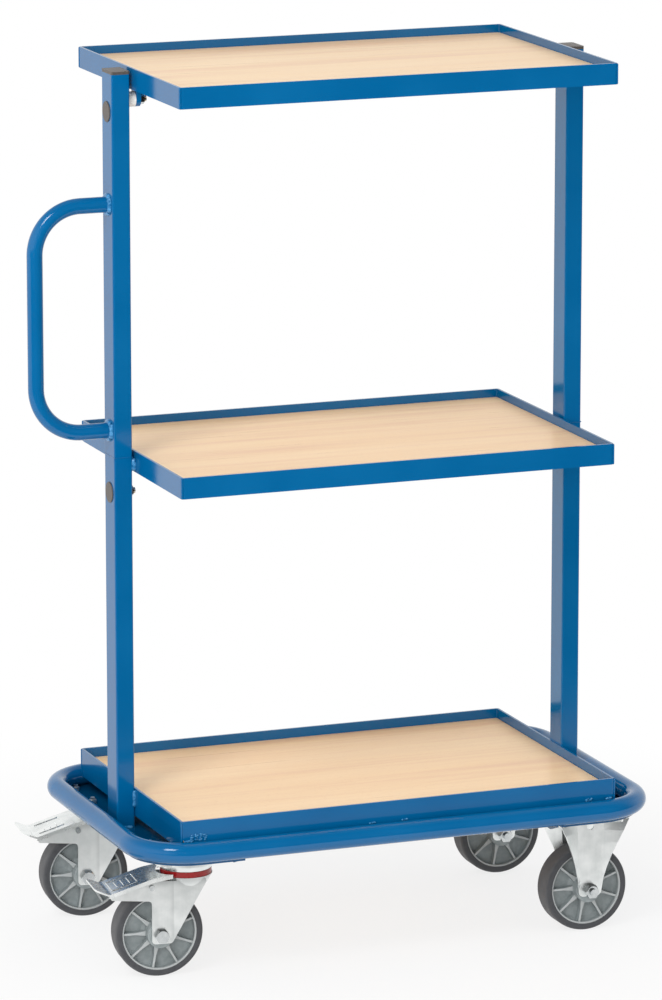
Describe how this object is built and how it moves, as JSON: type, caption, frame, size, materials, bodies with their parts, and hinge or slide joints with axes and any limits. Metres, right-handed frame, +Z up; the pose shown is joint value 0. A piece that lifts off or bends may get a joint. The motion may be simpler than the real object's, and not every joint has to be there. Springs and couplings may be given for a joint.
{
  "type": "shelf trolley",
  "caption": "Service trolley with a rimmed lower tray and two rimmed wooden shelves on mid-depth posts, a bent tube push handle, braked swivel castors and fixed castors.",
  "frame": {"origin": "on the floor, under the middle of the overall box at rest", "axes": "+Z up from the floor; X along the shelves with the push handle at -X; -Y is the long side nearest in the picture"},
  "size_m": [0.815, 0.461, 1.1802],
  "materials": {
    "blue_paint": "semi-gloss powder coat",
    "beech_board": "clear satin lacquer on beech",
    "zinc_steel": "bright zinc plate",
    "grey_rubber": "matt solid rubber",
    "shoe_rubber": "matt",
    "grey_rim": "moulded, satin",
    "red_seal": "moulded, glossy",
    "grey_plastic": "moulded, satin",
    "white_plastic": "moulded, satin"
  },
  "bodies": {
    "frame": {"base_ring": "blue_paint", "castor_plates": "blue_paint", "lower_tray_frame": "blue_paint", "lower_tray_board": "beech_board", "lower_post_right": "blue_paint", "lower_post_left": "blue_paint", "upper_post_right": "blue_paint", "upper_post_left": "blue_paint", "post_inserts": "zinc_steel", "post_caps": "grey_plastic", "hole_plugs": "grey_plastic", "joint_bolts": "zinc_steel", "joint_nuts": "zinc_steel", "middle_shelf_frame": "blue_paint", "middle_shelf_board": "beech_board", "middle_shelf_spacers": "blue_paint", "push_handle": "blue_paint", "tilt_bolts": "zinc_steel", "tilt_spacers": "white_plastic", "tilt_nuts": "zinc_steel", "castor_bolts": "zinc_steel", "castor_nuts": "zinc_steel", "castor_top_plates": "zinc_steel", "swivel_cups": "zinc_steel", "swivel_races": "zinc_steel", "king_pins": "zinc_steel", "fixed_brackets": "zinc_steel", "fixed_axle_bolts": "zinc_steel", "fixed_axle_nuts": "zinc_steel", "fixed_axle_sleeves": "zinc_steel"},
    "top_shelf": {"top_shelf_frame": "blue_paint", "top_shelf_board": "beech_board", "tilt_lugs": "blue_paint"},
    "fork_front": {"fork_front": "zinc_steel", "seal_ring_front": "red_seal", "pedal_pin_front": "zinc_steel", "axle_bolt_front": "zinc_steel", "axle_nut_front": "zinc_steel", "axle_sleeve_front": "zinc_steel"},
    "wheel_left_front": {"tyre_left_front": "grey_rubber", "rim_left_front": "grey_rim"},
    "pedal_front": {"brake_pedal_front": "zinc_steel", "brake_shoe_front": "shoe_rubber"},
    "wheel_right_front": {"tyre_right_front": "grey_rubber", "rim_right_front": "grey_rim"},
    "fork_back": {"fork_back": "zinc_steel", "seal_ring_back": "red_seal", "pedal_pin_back": "zinc_steel", "axle_bolt_back": "zinc_steel", "axle_nut_back": "zinc_steel", "axle_sleeve_back": "zinc_steel"},
    "wheel_left_back": {"tyre_left_back": "grey_rubber", "rim_left_back": "grey_rim"},
    "pedal_back": {"brake_pedal_back": "zinc_steel", "brake_shoe_back": "shoe_rubber"},
    "wheel_right_back": {"tyre_right_back": "grey_rubber", "rim_right_back": "grey_rim"}
  },
  "joints": [
    {"name": "top_shelf_tilt", "type": "hinge", "parent": "frame", "child": "top_shelf", "pos_m": [0.036, 0, 1.1377], "axis": [1, 0, 0], "range_deg": [-25, 25]},
    {"name": "swivel_front", "type": "hinge", "parent": "frame", "child": "fork_front", "pos_m": [-0.247, -0.15003, 0.136], "axis": [0, 0, 1], "continuous": true},
    {"name": "left_wheel_front", "type": "hinge", "parent": "fork_front", "child": "wheel_left_front", "pos_m": [-0.28628, -0.1459, 0.059], "axis": [0.1045, 0.9945, 0], "continuous": true},
    {"name": "brake_pedal_front", "type": "hinge", "parent": "fork_front", "child": "pedal_front", "pos_m": [-0.29921, -0.14454, 0.125], "axis": [0.1045, 0.9945, 0], "range_deg": [0, 12]},
    {"name": "right_wheel_front", "type": "hinge", "parent": "frame", "child": "wheel_right_front", "pos_m": [0.319, -0.15003, 0.059], "axis": [0, 1, 0], "continuous": true},
    {"name": "swivel_back", "type": "hinge", "parent": "frame", "child": "fork_back", "pos_m": [-0.247, 0.15003, 0.136], "axis": [0, 0, 1], "continuous": true},
    {"name": "left_wheel_back", "type": "hinge", "parent": "fork_back", "child": "wheel_left_back", "pos_m": [-0.28628, 0.15416, 0.059], "axis": [0.1045, 0.9945, 0], "continuous": true},
    {"name": "brake_pedal_back", "type": "hinge", "parent": "fork_back", "child": "pedal_back", "pos_m": [-0.29921, 0.15552, 0.125], "axis": [0.1045, 0.9945, 0], "range_deg": [0, 12]},
    {"name": "right_wheel_back", "type": "hinge", "parent": "frame", "child": "wheel_right_back", "pos_m": [0.319, 0.15003, 0.059], "axis": [0, 1, 0], "continuous": true}
  ]
}
